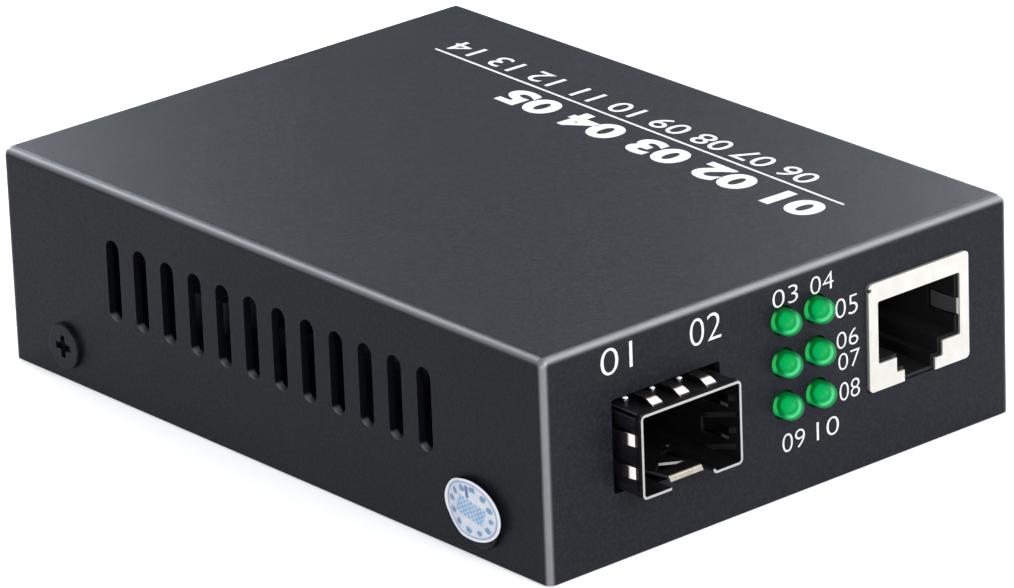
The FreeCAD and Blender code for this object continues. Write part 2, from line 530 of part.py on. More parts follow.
# ---------------------------------------------------------------- parts on the board
def chip(x, y, w, d, h, z=PCB_TOP, ch=0.15):
    b = box(x - w / 2, x + w / 2, y - d / 2, y + d / 2, z, z + h)
    return b.makeChamfer(ch, [e for e in b.Edges if e.Vertexes[0].Z > z + h - 0.01 and e.Vertexes[1].Z > z + h - 0.01])


parts["switch_chip"] = chip(2.0, 8.0, 14.0, 14.0, 1.4).cut(cyl(0.6, 1, (-3.6, 13.6, PCB_TOP + 1.3), (0, 0, 1)))
parts["thermal_pad"] = box(-5.0 + 0.5, 8.5, 1.5, 14.5, PCB_TOP + 1.4, PCB_TOP + 1.9)
hs = box(-6.5, 10.5, -0.5, 16.5, PCB_TOP + 1.9, PCB_TOP + 9.4)
for k in range(6):
    x = -6.5 + 1.4 + k * 2.7
    hs = hs.cut(box(x, x + 1.5 - (0.0), -2, 18, PCB_TOP + 3.6, PCB_TOP + 12))
parts["heat_sink"] = one(hs)
parts["lan_transformer"] = chip(17.5, -13.5, 16.0, 12.0, 5.6, ch=0.3)
can = rbox(-3.2 - 5.6, -3.2 + 5.6 - 0, -21.0 - 2.3, -21.0 + 2.3, PCB_TOP + 0.05, PCB_TOP + 3.6, 2.28, "z")
can = can.fuse(rbox(-3.2 - 5.9, -3.2 + 5.9, -21.0 - 2.6, -21.0 + 2.6, PCB_TOP, PCB_TOP + 0.4, 2.58, "z"))
parts["crystal"] = one(can.translated(V(6.2, 0, 0)) if hasattr(can, "translated") else can)
caps = []
for x, y, r, h in ((-4.0, 36.0, 4.0, 11.5), (5.6, 37.0, 3.15, 8.0), (22.0, 30.0, 3.15, 8.0)):
    b = cyl(r, h, (x, y, PCB_TOP), (0, 0, 1))
    b = b.makeFillet(0.4, [e for e in b.Edges if e.Closed])
    groove = Part.makeTorus(r + 0.25, 0.5, V(x, y, PCB_TOP + 1.5), V(0, 0, 1))
    caps.append(one(b.cut(groove)))
parts["electrolytic_capacitors"] = group(caps)
ind = rbox(-26.5, -19.0, 18.0, 25.5, PCB_TOP, PCB_TOP + 4.2, 1.2, "z")
parts["power_inductor"] = one(ind)
parts["regulator_chip"] = one(chip(-20.5, 10.5, 6.5, 6.2, 2.3).fuse(box(-23.3, -17.7, 13.5, 15.8, PCB_TOP, PCB_TOP + 1.2)))
parts["memory_chip"] = chip(20.0, 4.0, 5.2, 4.0, 1.6)
small = []
for x, y in ((-9.5, 2), (-9.5, 6), (-9.5, 10), (-9.5, 14), (13.2, 2), (13.2, 6), (13.2, 10), (13.2, 14),
             (24, -4.5), (28, -4.5), (16, 20), (19.5, 20), (23, 20), (-15, 22), (-15, 26), (-12, 30)):
    small.append(box(x - 0.8, x + 0.8, y - 0.4, y + 0.4, PCB_TOP, PCB_TOP + 0.8))
parts["ceramic_capacitors"] = group(small)

for x, y, r in pcb_holes:
    pcb = pcb.cut(cyl(r, 10, (x, y, 2), (0, 0, 1)))
parts["main_board"] = one(pcb)

# ---------------------------------------------------------------- write
os.makedirs("parts", exist_ok=True)
for name, s in sorted(parts.items()):
    assert s.isValid(), name
    s.exportStep("parts/%s.step" % name)
    bb = s.BoundBox
    print("%-26s %2d solids %9.1f mm3  x %.2f..%.2f  y %.2f..%.2f  z %.2f..%.2f" % (
        name, len(s.Solids), s.Volume, bb.XMin, bb.XMax, bb.YMin, bb.YMax, bb.ZMin, bb.ZMax))
print(len(parts), "nodes")
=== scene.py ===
import math

import bmesh
import bpy
from mathutils import Matrix, Vector


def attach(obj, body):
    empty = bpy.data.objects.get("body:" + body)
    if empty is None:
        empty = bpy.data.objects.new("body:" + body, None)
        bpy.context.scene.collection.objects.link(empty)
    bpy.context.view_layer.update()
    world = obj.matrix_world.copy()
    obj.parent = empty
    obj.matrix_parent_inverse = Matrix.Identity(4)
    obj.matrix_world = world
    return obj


# Looks of the fibre media converter: finishes, print, seal, lamps. Everything is in metres in the CAD frame.

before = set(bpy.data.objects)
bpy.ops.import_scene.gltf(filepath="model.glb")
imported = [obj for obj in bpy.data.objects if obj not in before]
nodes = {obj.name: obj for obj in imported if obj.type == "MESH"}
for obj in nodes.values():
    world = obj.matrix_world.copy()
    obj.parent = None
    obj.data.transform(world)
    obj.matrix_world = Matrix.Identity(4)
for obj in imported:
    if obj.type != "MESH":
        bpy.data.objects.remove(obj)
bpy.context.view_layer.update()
MM = 0.001
W, D, H = 0.070, 0.096, 0.0265


# ------------------------------------------------------------------ camera
cam_data = bpy.data.cameras.new("camera")
cam = bpy.data.objects.new("camera", cam_data)
bpy.context.scene.collection.objects.link(cam)
right = Vector((0.7556476, -0.65400402, -0.03571339))
down = Vector((-0.26478888, -0.25516041, -0.92993549))
ahead = Vector((0.5990689, 0.71216003, -0.36598435))
m = Matrix((right, -down, -ahead)).transposed().to_4x4()
m.translation = Vector((-0.48237, -0.57450, 0.30607))
cam.matrix_world = m
cam_data.sensor_fit = "HORIZONTAL"
cam_data.sensor_width = 36.0
cam_data.lens = 247.46
cam_data.clip_start = 0.01
cam_data.clip_end = 50.0
bpy.context.scene.camera = cam

bpy.context.scene.view_settings.view_transform = "Standard"


# ------------------------------------------------------------------ node helpers
class M:
    """A small writer for node materials."""

    def __init__(self, name):
        self.mat = bpy.data.materials.new(name)
        self.mat.use_nodes = True
        self.t = self.mat.node_tree
        self.bsdf = next(n for n in self.t.nodes if n.type == "BSDF_PRINCIPLED")
        self._co = None

    def n(self, kind, **kw):
        node = self.t.nodes.new(kind)
        for k, v in kw.items():
            setattr(node, k, v)
        return node

    def link(self, a, b):
        self.t.links.new(a, b)

    def put(self, socket, v):
        if hasattr(v, "links") or isinstance(v, bpy.types.NodeSocket):
            self.link(v, socket)
        else:
            socket.default_value = v

    def math(self, op, a, b=None, c=None, clamp=False):
        node = self.n("ShaderNodeMath", operation=op, use_clamp=clamp)
        self.put(node.inputs[0], a)
        if b is not None:
            self.put(node.inputs[1], b)
        if c is not None:
            self.put(node.inputs[2], c)
        return node.outputs[0]

    def co(self):
        """x, y, z of the point in the CAD frame, metres."""
        if self._co is None:
            tc = self.n("ShaderNodeTexCoord")
            sep = self.n("ShaderNodeSeparateXYZ")
            self.link(tc.outputs["Object"], sep.inputs[0])
            self._tc = tc
            self._co = (sep.outputs[0], sep.outputs[1], sep.outputs[2])
        return self._co

    def vec(self):
        self.co()
        return self._tc.outputs["Object"]

    def normal(self):
        """x, y, z of the surface's direction in the CAD frame."""
        self.co()
        sep = self.n("ShaderNodeSeparateXYZ")
        self.link(self._tc.outputs["Normal"], sep.inputs[0])
        return sep.outputs[0], sep.outputs[1], sep.outputs[2]

    def noise(self, scale, detail=2.0, rough=0.5, vec=None, dist=0.0):
        node = self.n("ShaderNodeTexNoise")
        node.inputs["Scale"].default_value = scale
        node.inputs["Detail"].default_value = detail
        node.inputs["Roughness"].default_value = rough
        node.inputs["Distortion"].default_value = dist
        self.link(vec or self.vec(), node.inputs["Vector"])
        return node.outputs["Fac"]

    def ramp(self, fac, stops, interp="LINEAR"):
        node = self.n("ShaderNodeValToRGB")
        node.color_ramp.interpolation = interp
        els = node.color_ramp.elements
        while len(els) > len(stops):
            els.remove(els[-1])
        while len(els) < len(stops):
            els.new(0.5)
        for e, (p, c) in zip(els, stops):
            e.position = p
            e.color = (c[0], c[1], c[2], 1.0) if hasattr(c, "__len__") else (c, c, c, 1.0)
        self.link(fac, node.inputs[0])
        return node.outputs[0]

    def mixc(self, fac, a, b, mode="MIX"):
        node = self.n("ShaderNodeMix", data_type="RGBA", blend_type=mode)
        self.put(node.inputs[0], fac)
        for i, v in ((6, a), (7, b)):
            if isinstance(v, tuple):
                v = (v[0], v[1], v[2], 1.0)
            self.put(node.inputs[i], v)
        return node.outputs[2]

    def step(self, v, lo, hi):
        """0 below lo, 1 above hi, smooth between."""
        node = self.n("ShaderNodeMapRange", interpolation_type="SMOOTHSTEP")
        self.put(node.inputs[0], v)
        node.inputs[1].default_value = lo
        node.inputs[2].default_value = hi
        return node.outputs[0]

    def bump(self, height, strength, distance, normal=None):
        node = self.n("ShaderNodeBump")
        node.inputs["Strength"].default_value = strength
        node.inputs["Distance"].default_value = distance
        self.link(height, node.inputs["Height"])
        if normal is not None:
            self.link(normal, node.inputs["Normal"])
        return node.outputs[0]

    def set(self, **kw):
        for k, v in kw.items():
            s = self.bsdf.inputs[k.replace("_", " ")]
            if isinstance(v, tuple) and len(v) == 3:
                v = (*v, 1.0)
            self.put(s, v)
        return self


def assign(name, material):
    o = nodes[name]
    o.data.materials.clear()
    o.data.materials.append(material)


# ------------------------------------------------------------------ finishes
def powder_coat(name, base, edge):
    """Dark powder coat: fine grain, faint cloudiness, a painted highlight along the folds, and painted shade and
    painted highlight in the slot walls.
    """
    k = M(name)
    x, y, z = k.co()
    grain = k.noise(2400.0, 2.0, 0.55)
    cloud = k.noise(70.0, 3.0, 0.6)
    nx, ny, nz = k.normal()
    big = k.math("MAXIMUM", k.math("ABSOLUTE", nx), k.math("MAXIMUM", k.math("ABSOLUTE", ny), k.math("ABSOLUTE", nz)))
    fold_highlight = k.step(k.math("SUBTRACT", 1.0, big), 0.0, 0.17)
    ax = k.math("GREATER_THAN", k.math("ABSOLUTE", x), W / 2 - 1.12 * MM)
    ay = k.math("GREATER_THAN", k.math("ABSOLUTE", y), D / 2 - 1.12 * MM)
    az = k.math("GREATER_THAN", z, H - 1.12 * MM)
    pair = k.math("ADD", k.math("MULTIPLY", ax, ay), k.math("MULTIPLY", az, k.math("MAXIMUM", ax, ay)))
    fold_highlight = k.math("MULTIPLY", k.math("MINIMUM", pair, 1.0), fold_highlight)
    fold_highlight = k.math("MULTIPLY", fold_highlight, k.math("ADD", 0.85, k.math("MULTIPLY", k.noise(180.0, 3.0, 0.6), 0.3)))
    col = k.mixc(k.step(cloud, 0.3, 0.7), tuple(c * 0.94 for c in base), tuple(c * 1.06 for c in base))
    col = k.mixc(k.step(grain, 0.40, 0.70), col, tuple(c * 1.6 for c in base))
    # painted highlight: the folds are coloured light grey here, and made half metallic and a little rougher further
    # down
    col = k.mixc(fold_highlight, col, edge)
    # painted shade and painted highlight in the slots: the punched walls are coloured near black and made rough, their
    # upward-facing lower ends are coloured light grey
    slot_wall_painted = k.math("MULTIPLY", k.math("GREATER_THAN", k.math("ABSOLUTE", x), W / 2 - 1.02 * MM), k.math("LESS_THAN", k.math("ABSOLUTE", nx), 0.3))
    slot_wall_painted = k.math("MULTIPLY", slot_wall_painted, k.math("MULTIPLY", k.math("LESS_THAN", k.math("ABSOLUTE", y), 29.6 * MM), k.math("MULTIPLY", k.math("GREATER_THAN", z, 10.0 * MM), k.math("LESS_THAN", z, 20.2 * MM))))
    slot_end_highlight = k.step(nz, 0.35, 0.8)
    col = k.mixc(slot_wall_painted, col, k.mixc(slot_end_highlight, (0.0010, 0.0011, 0.0012), (0.095, 0.10, 0.105)))
    speck = k.step(k.noise(3300.0, 1.0, 0.5), 0.38, 0.62)
    speck = k.math("MULTIPLY", speck, k.math("SUBTRACT", 1.0, fold_highlight))
    rough = k.math("ADD", COAT_ROUGH - 0.05, k.math("ADD", k.math("MULTIPLY", speck, 0.12), k.math("MULTIPLY", fold_highlight, 0.08)))
    rough = k.math("ADD", rough, k.math("MULTIPLY", slot_wall_painted, 0.5), clamp=True)
    k.set(Base_Color=col, Roughness=rough, Metallic=k.math("MULTIPLY", fold_highlight, 0.5), Normal=k.bump(grain, 0.50, 0.00002))
    k.bsdf.inputs["Specular IOR Level"].default_value = COAT_SPEC
    k.bsdf.inputs["Specular Tint"].default_value = (0.86, 0.91, 1.0, 1.0)
    return k


COAT = (0.0066, 0.0070, 0.0092)
COAT_FOLD_HIGHLIGHT = (0.150, 0.152, 0.160)
COAT_ROUGH, COAT_SPEC = 0.40, 0.085
coat = powder_coat("case_coat", COAT, COAT_FOLD_HIGHLIGHT)
assign("top_cover", coat.mat)
# the tray gets a fainter painted highlight along its folds
coat2 = powder_coat("tray_coat", COAT, (0.03, 0.032, 0.036))
assign("base_tray", coat2.mat)


def metal(name, col, rough, grain_scale=900.0, grain=0.06, aniso=None, wave=None):
    k = M(name)
    g = k.noise(grain_scale, 3.0, 0.6)
    c = k.mixc(k.step(g, 0.3, 0.7), tuple(v * (1 - grain) for v in col), tuple(min(1.0, v * (1 + grain)) for v in col))
    r = k.math("ADD", rough - 0.04, k.math("MULTIPLY", k.noise(grain_scale * 0.3, 2.0), 0.08))
    k.set(Base_Color=c, Metallic=1.0, Roughness=r, Normal=k.bump(g, 0.05, 0.00001))
    return k


def plastic(name, col, rough, grain_scale=2200.0, strength=0.2):
    k = M(name)
    g = k.noise(grain_scale, 2.0, 0.5)
    c = k.mixc(k.step(g, 0.3, 0.7), tuple(v * 0.9 for v in col), tuple(v * 1.1 for v in col))
    k.set(Base_Color=c, Roughness=rough, Normal=k.bump(g, strength, 0.00001))
    return k


def screw_mat():
    """Blackened steel: the top of the head close to the coat's tone; its side and the cross are painted shade, near
    black.
    """
    k = M("screw_black")
    x, y, z = k.co()
    nx, ny, nz = k.normal()
    g = k.noise(1800.0, 3.0, 0.6)
    c = k.mixc(k.step(g, 0.3, 0.7), (0.0064, 0.0072, 0.0092), (0.0090, 0.0100, 0.0125))
    top = k.math("MULTIPLY", k.step(k.math("ABSOLUTE", nx), 0.80, 0.97), k.math("GREATER_THAN", k.math("ABSOLUTE", x), 35.5 * MM))
    # painted shade: all but the head's outward face, that is its side and the cross recess, is coloured near black
    c = k.mixc(top, (0.0010, 0.0010, 0.0012), c)
    k.set(Base_Color=c, Roughness=k.mixc(top, (0.6, 0.6, 0.6), (0.45, 0.45, 0.45)), Normal=k.bump(g, 0.15, 0.00002))
    k.bsdf.inputs["Specular IOR Level"].default_value = 0.10
    return k.mat


assign("case_screws", screw_mat())


def cage_mat(name, skin, rim_highlight, rim_y=-51.9 * MM):
    """Nickel-plated sheet: the skin coloured dark, a painted reflection of dark surroundings; a painted highlight on
    the sheared front edge.
    """
    k = M(name)
    x, y, z = k.co()
    nx, ny, nz = k.normal()
    g = k.noise(900.0, 3.0, 0.6)
    streak = k.n("ShaderNodeMapping")
    k.link(k.vec(), streak.inputs["Vector"])
    streak.inputs["Scale"].default_value = (1.0, 0.06, 1.0)
    br = k.noise(1500.0, 2.0, 0.6, vec=streak.outputs["Vector"])
    c = k.mixc(k.step(br, 0.3, 0.7), tuple(v * 0.8 for v in skin), tuple(v * 1.25 for v in skin))
    # painted highlight: forward-facing faces of the sheared front edge take the rim colour
    face = k.math("MULTIPLY", k.step(k.math("MULTIPLY", ny, -1.0), 0.5, 0.8), k.math("LESS_THAN", y, rim_y))
    c = k.mixc(face, c, rim_highlight)
    # rolled marks on the inner right wall
    bars = k.math("SINE", k.math("MULTIPLY", k.math("ADD", z, k.math("MULTIPLY", y, 0.30)), 3300.0))
    inner = k.math("MULTIPLY", k.step(k.math("MULTIPLY", nx, -1.0), 0.6, 0.9), k.math("MULTIPLY", k.math("GREATER_THAN", x, -10.6 * MM), k.step(y, -51.6 * MM, -51.2 * MM)))
    inner = k.math("MULTIPLY", inner, k.math("SUBTRACT", 1.0, k.step(y, -47.5 * MM, -45.5 * MM)))
    c = k.mixc(k.math("MULTIPLY", inner, k.step(bars, 0.2, 0.8)), c, (0.30, 0.29, 0.30))
    # painted highlights: glints on the crests of the dimples, and light lines on the turned edges of the slit along
    # the bend
    crest_glint = k.math("MULTIPLY", k.math("GREATER_THAN", z, 18.56 * MM), k.math("GREATER_THAN", y, -48.4 * MM))
    za = k.math("MINIMUM", k.math("ABSOLUTE", k.math("SUBTRACT", z, 17.60 * MM)), k.math("ABSOLUTE", k.math("SUBTRACT", z, 18.09 * MM)))
    slit_edge_highlight = k.math("MULTIPLY", k.math("LESS_THAN", za, 0.055 * MM), k.math("MULTIPLY", k.math("LESS_THAN", x, -24.35 * MM), k.math("LESS_THAN", y, -46.1 * MM)))
    c = k.mixc(slit_edge_highlight, c, (0.34, 0.34, 0.35))
    c = k.mixc(crest_glint, c, (0.92, 0.92, 0.92))
    r = k.math("ADD", 0.30, k.math("MULTIPLY", g, 0.10))
    k.set(Base_Color=c, Metallic=k.math("SUBTRACT", 1.0, k.math("MULTIPLY", crest_glint, 0.8)), Roughness=r, Normal=k.bump(br, 0.05, 0.00001))
    return k


# dark skin colour as painted reflection, light rim colour as painted highlight
cage = cage_mat("cage_nickel", (0.085, 0.085, 0.09), (0.44, 0.43, 0.43))
assign("sfp_cage_shell", cage.mat)
assign("sfp_cage_base", cage.mat)


def tongue_mat():
    """Spring sheet: dark on the flat, bright sheared edges, painted highlights in light warm beige on the front-facing
    lip and in light grey on the hole's wall.
    """
    k = M("tongue_nickel")
    x, y, z = k.co()
    nx, ny, nz = k.normal()
    g = k.noise(1100.0, 3.0, 0.6)
    lip = k.math("MULTIPLY", k.math("LESS_THAN", y, -50.62 * MM), k.step(k.math("SUBTRACT", k.math("MULTIPLY", ny, -1.0), 0.0), 0.10, 0.4))
    hole_wall_highlight = k.math("MULTIPLY", k.math("LESS_THAN", nx, -0.4), k.math("LESS_THAN", k.math("ABSOLUTE", k.math("SUBTRACT", x, -17.55 * MM)), 2.38 * MM))
    side = k.math("GREATER_THAN", k.math("ABSOLUTE", k.math("SUBTRACT", x, -17.55 * MM)), 2.38 * MM)
    c = k.mixc(k.step(g, 0.3, 0.7), (0.045, 0.045, 0.047), (0.07, 0.07, 0.072))
    beige = k.mixc(k.step(k.noise(700.0, 2.0, 0.6), 0.35, 0.65), (0.235, 0.210, 0.180), (0.275, 0.250, 0.218))
    c = k.mixc(k.math("MULTIPLY", side, 0.6), c, (0.7, 0.7, 0.7))
    # painted highlight: the front-facing lip is coloured light warm beige, the hole's wall light grey
    c = k.mixc(lip, c, beige)
    c = k.mixc(hole_wall_highlight, c, (0.32, 0.32, 0.33))
    k.set(Base_Color=c, Metallic=1.0, Roughness=0.42, Normal=k.bump(g, 0.05, 0.00001))
    return k.mat


assign("sfp_latch_tongue", tongue_mat())


def finger_mat():
    """Thin spring sheet: a painted highlight where the fingers stand free of the panel, painted shade (dark) where
    they pass under it, a warm brown band between.
    """
    k = M("spring_nickel")
    x, y, z = k.co()
    g = k.noise(1000.0, 3.0, 0.6)
    nx, ny, nz = k.normal()
    over = k.step(nz, 0.4, 0.6)
    free_t = k.math("MULTIPLY", k.step(y, -51.15 * MM, -50.9 * MM), k.math("SUBTRACT", 1.0, k.step(y, -50.25 * MM, -49.75 * MM)))
    free_s = k.math("MULTIPLY", k.step(y, -51.32 * MM, -51.22 * MM), k.math("SUBTRACT", 1.0, k.step(y, -50.55 * MM, -50.15 * MM)))
    free = k.math("ADD", k.math("MULTIPLY", over, free_t), k.math("MULTIPLY", k.math("SUBTRACT", 1.0, over), free_s), clamp=True)
    c = k.mixc(k.step(g, 0.3, 0.7), (0.035, 0.032, 0.030), (0.055, 0.050, 0.046))
    warm = k.math("MULTIPLY", k.step(y, -51.3 * MM, -51.1 * MM), k.math("SUBTRACT", 1.0, k.step(y, -50.0 * MM, -48.9 * MM)))
    c = k.mixc(warm, c, (0.13, 0.10, 0.085))
    # painted highlight: the free stretch of each finger is coloured near white and made less metallic
    c = k.mixc(free, c, (0.93, 0.91, 0.89))
    k.set(Base_Color=c, Metallic=k.math("SUBTRACT", 1.0, k.math("MULTIPLY", free, 0.75)), Roughness=0.34, Normal=k.bump(g, 0.05, 0.00001))
    return k.mat


assign("sfp_emi_spring", finger_mat())


def shield_mat():
    """Bright tinned sheet on the face; painted shade inside the mouth and on the springs, coloured dark and a little
    lighter towards the back.
    """
    k = M("shield_tin")
    x, y, z = k.co()
    g = k.noise(500.0, 3.0, 0.55)
    inside = k.step(y, -48.08 * MM, -47.9 * MM)
    tip = k.step(y, -45.5 * MM, -45.2 * MM)
    face = k.mixc(k.step(g, 0.3, 0.7), (0.520, 0.505, 0.466), (0.560, 0.543, 0.510))
    # painted shade: the sheet behind the face is coloured dark
    mouth_shade_colour = k.mixc(tip, (0.10, 0.097, 0.10), (0.19, 0.185, 0.185))
    k.set(Base_Color=k.mixc(inside, face, mouth_shade_colour), Metallic=0.85, Roughness=0.48, Normal=k.bump(g, 0.04, 0.00001))
    return k.mat


assign("rj45_shield", shield_mat())


def dark_plastic(name, col, rough, spec):
    k = M(name)
    g = k.noise(2200.0, 2.0, 0.5)
    c = k.mixc(k.step(g, 0.3, 0.7), tuple(v * 0.85 for v in col), tuple(v * 1.15 for v in col))
    k.set(Base_Color=c, Roughness=rough, Normal=k.bump(g, 0.2, 0.00001))
    k.bsdf.inputs["Specular IOR Level"].default_value = spec
    return k


black = dark_plastic("moulded_black", (0.004, 0.004, 0.0045), 0.55, 0.2)
for nme in ("sfp_connector_body", "rj45_housing", "rj45_contact_insert", "led_holder"):
    assign(nme, black.mat)
assign("dc_jack_housing", dark_plastic("jack_black", (0.010, 0.010, 0.011), 0.42, 0.4).mat)
gold = metal("contact_gold", (0.85, 0.65, 0.3), 0.25)
for nme in ("sfp_connector_contacts", "rj45_contacts"):
    assign(nme, gold.mat)
tin = metal("tin_plate", (0.75, 0.75, 0.76), 0.3)
for nme in ("rj45_solder_pins", "led_leads", "dc_jack_pin", "dc_jack_spring"):
    assign(nme, tin.mat)
zinc = metal("zinc_plate", (0.62, 0.63, 0.65), 0.35)
for nme in ("board_standoffs", "board_screws"):
    assign(nme, zinc.mat)


def board_mat():
    """Green solder mask with the faint relief of copper tracks below it."""
    k = M("solder_mask")
    x, y, z = k.co()
    tracks = k.n("ShaderNodeTexBrick")
    tracks.inputs["Scale"].default_value = 420.0
    k.link(k.vec(), tracks.inputs["Vector"])
    tracks.inputs["Color1"].default_value = (0.004, 0.034, 0.013, 1)
    tracks.inputs["Color2"].default_value = (0.003, 0.028, 0.011, 1)
    tracks.inputs["Mortar"].default_value = (0.002, 0.018, 0.007, 1)
    k.set(Base_Color=tracks.outputs["Color"], Roughness=0.3, Normal=k.bump(tracks.outputs["Fac"], 0.2, 0.00003))
    return k.mat


assign("main_board", board_mat())
chipm = plastic("chip_epoxy", (0.015, 0.015, 0.016), 0.55, 3000.0)
for nme in ("switch_chip", "regulator_chip", "memory_chip", "lan_transformer"):
    assign(nme, chipm.mat)
assign("thermal_pad", plastic("pad_grey", (0.35, 0.37, 0.4), 0.8).mat)
assign("heat_sink", metal("black_anodised", (0.05, 0.05, 0.055), 0.5).mat)
assign("crystal", metal("crystal_can", (0.75, 0.75, 0.77), 0.22).mat)
assign("power_inductor", plastic("ferrite", (0.05, 0.05, 0.055), 0.75, 1500.0, 0.5).mat)
assign("ceramic_capacitors", plastic("fired_ceramic", (0.42, 0.3, 0.17), 0.5).mat)


def capacitor_mat():
    """Dark sleeve on the can's side, bare aluminium on the top."""
    k = M("capacitor_sleeve")
    nx, ny, nz = k.normal()
    top = k.step(nz, 0.6, 0.8)
    k.set(Base_Color=k.mixc(top, (0.01, 0.012, 0.03), (0.7, 0.7, 0.72)), Metallic=top, Roughness=0.35)
    return k.mat


assign("electrolytic_capacitors", capacitor_mat())


# ------------------------------------------------------------------ lamps
def lamp_mat():
    """Tinted green lens whose glow carries painted light: a painted highlight crescent to the lower right, a painted
    reflection streak at the left, painted shade on the upper left, round the top and in a ring to the left; the glow
    is darker towards the rim.
    """
    k = M("lamp_green")
    x, y, z = k.co()

    def local(v, mid, pitch):
        a = k.math("ADD", k.math("SUBTRACT", v, mid * MM), 20.5 * pitch * MM)
        a = k.math("FLOORED_MODULO", a, pitch * MM)
        return k.math("MULTIPLY", k.math("SUBTRACT", a, pitch * MM / 2), 1.0 / (1.5 * MM))

    def dot(a, b, c):
        return k.math("ADD", k.math("ADD", k.math("MULTIPLY", dx, a), k.math("MULTIPLY", dy, b)), k.math("MULTIPLY", dz, c))

    dx = local(x, 0.0, 5.0)
    dz = local(z, 16.15, 5.025)
    dy = k.math("MULTIPLY", k.math("SUBTRACT", y, -48.57 * MM), 1.0 / (1.5 * MM))
    # u, v: coordinates in a disc square to one fixed line of sight that leans left and up from the lens's axis; the
    # painted light and shade below are laid out in them
    u = k.math("SUBTRACT", dot(0.7556, -0.6540, -0.0357), 0.06)
    v = dot(-0.2648, -0.2552, -0.9299)
    r = k.math("MAXIMUM", k.math("SQRT", k.math("ADD", k.math("MULTIPLY", u, u), k.math("MULTIPLY", v, v))), 0.02)

    def lean(a, b):
        return k.math("DIVIDE", k.math("ADD", k.math("MULTIPLY", u, a), k.math("MULTIPLY", v, b)), r)

    def band(lo0, lo1, hi0, hi1):
        return k.math("MULTIPLY", k.step(r, lo0, lo1), k.math("SUBTRACT", 1.0, k.step(r, hi0, hi1)))

    left = lean(-1.0, 0.0)
    up = lean(-0.45, -0.89)
    # painted highlight (crescent), painted shade (shade, top, ring) and painted reflection (streak), fixed on each
    # lamp
    crescent_highlight = k.math("MULTIPLY", band(0.62, 0.76, 0.84, 1.02), k.step(lean(0.80, 0.60), 0.10, 0.85))
    shade = k.math("MULTIPLY", k.step(r, 0.58, 0.86), k.step(up, 0.0, 0.7))
    top = k.math("MULTIPLY", k.step(r, 0.88, 1.12), k.step(up, 0.35, 0.9))
    ring = k.math("MULTIPLY", band(0.56, 0.72, 0.84, 0.98), k.step(left, 0.25, 0.8))
    streak = k.math("MULTIPLY", band(0.84, 0.96, 1.10, 1.24), k.step(left, 0.70, 0.95))
    col = k.mixc(k.step(r, 0.2, 1.1), (0.0, 0.47, 0.098), (0.0, 0.25, 0.070))
    col = k.mixc(k.math("MULTIPLY", k.step(r, 1.0, 1.22), 0.7), col, (0.0, 0.10, 0.022))
    col = k.mixc(k.math("MULTIPLY", shade, 0.85), col, (0.0, 0.085, 0.006))
    col = k.mixc(k.math("MULTIPLY", ring, 0.75), col, (0.0, 0.095, 0.008))
    col = k.mixc(k.math("MULTIPLY", top, 0.90), col, (0.0, 0.022, 0.001))
    col = k.mixc(k.math("MULTIPLY", streak, 0.80), col, (0.03, 0.62, 0.12))
    col = k.mixc(k.math("MULTIPLY", crescent_highlight, 0.85), col, (0.12, 0.92, 0.33))
    # the painted light and shade are carried in the emission colour, glowing at 0.88
    k.set(Base_Color=(0.001, 0.022, 0.007), Roughness=0.34, Emission_Color=col)
    k.bsdf.inputs["Emission Strength"].default_value = 0.88
    k.bsdf.inputs["Specular IOR Level"].default_value = 0.06
    return k.mat


assign("led_lamps", lamp_mat())


